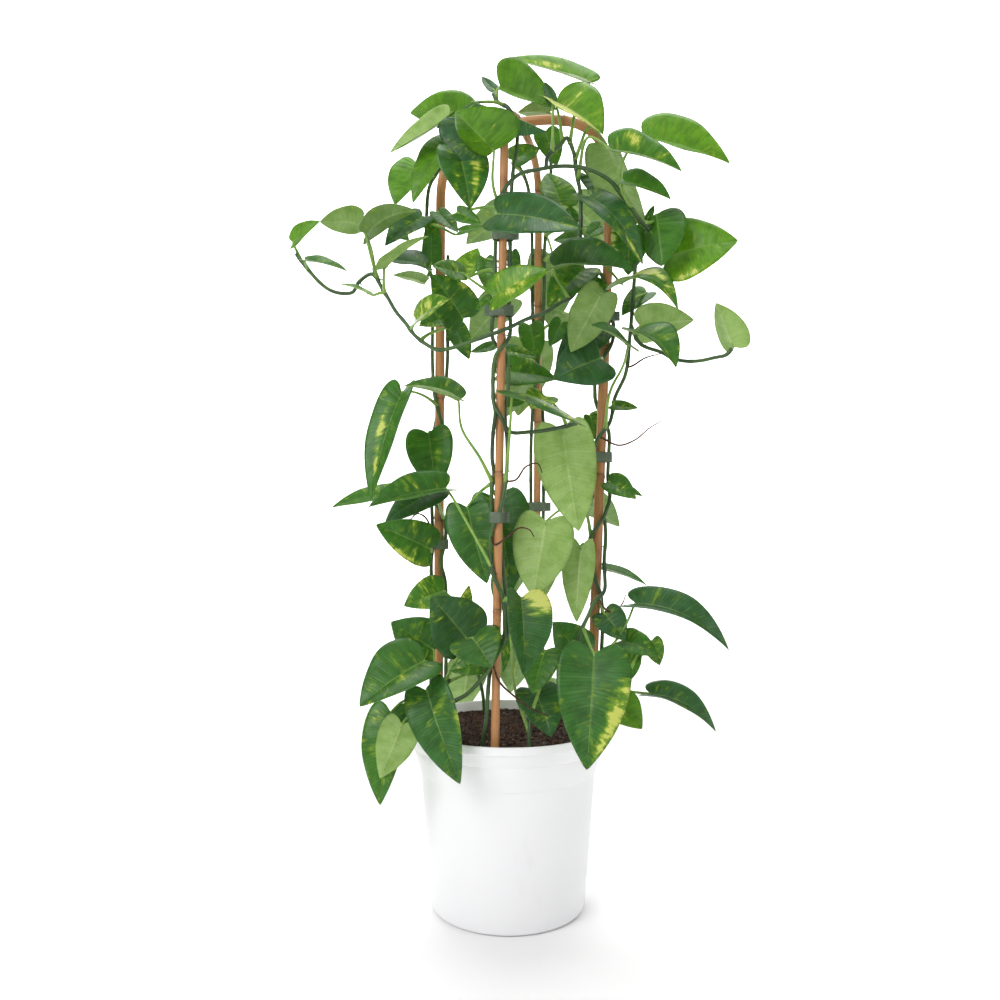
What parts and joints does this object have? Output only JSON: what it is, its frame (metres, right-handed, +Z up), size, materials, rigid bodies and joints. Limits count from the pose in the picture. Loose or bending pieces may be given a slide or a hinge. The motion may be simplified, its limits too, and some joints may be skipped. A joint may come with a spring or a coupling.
{
  "type": "potted golden pothos",
  "caption": "Climbing pothos in a round white pot, its leafy vines tied with soft bands to two crossed bamboo hoops.",
  "frame": {"origin": "middle of the pot's underside", "axes": "+Z up, -Y towards the front of the picture, +X to the right of the picture"},
  "size_m": [0.5248, 0.3349, 0.9893],
  "materials": {
    "pot": "satin white",
    "soil": "dark damp potting mix",
    "bamboo": "dry tan cane with raised joints",
    "band": "grey-green woven tape",
    "vine": "waxy green leaves flecked with yellow"
  },
  "bodies": {
    "root": {"pot": "pot", "soil": "soil", "hoop_side": "bamboo", "hoop_front": "bamboo", "strap_front_high": "band", "strap_front_middle": "band", "strap_front_low": "band", "strap_right_high": "band", "strap_right_low": "band", "strap_left": "band", "strap_back": "band", "front_vine_a": "vine", "front_vine_b": "vine", "right_vine_a": "vine", "right_vine_b": "vine", "left_vine_a": "vine", "left_vine_b": "vine", "back_vine_a": "vine", "back_vine_b": "vine", "low_left_vine": "vine", "low_right_vine": "vine", "low_front_vine": "vine", "low_back_vine": "vine"}
  },
  "joints": []
}
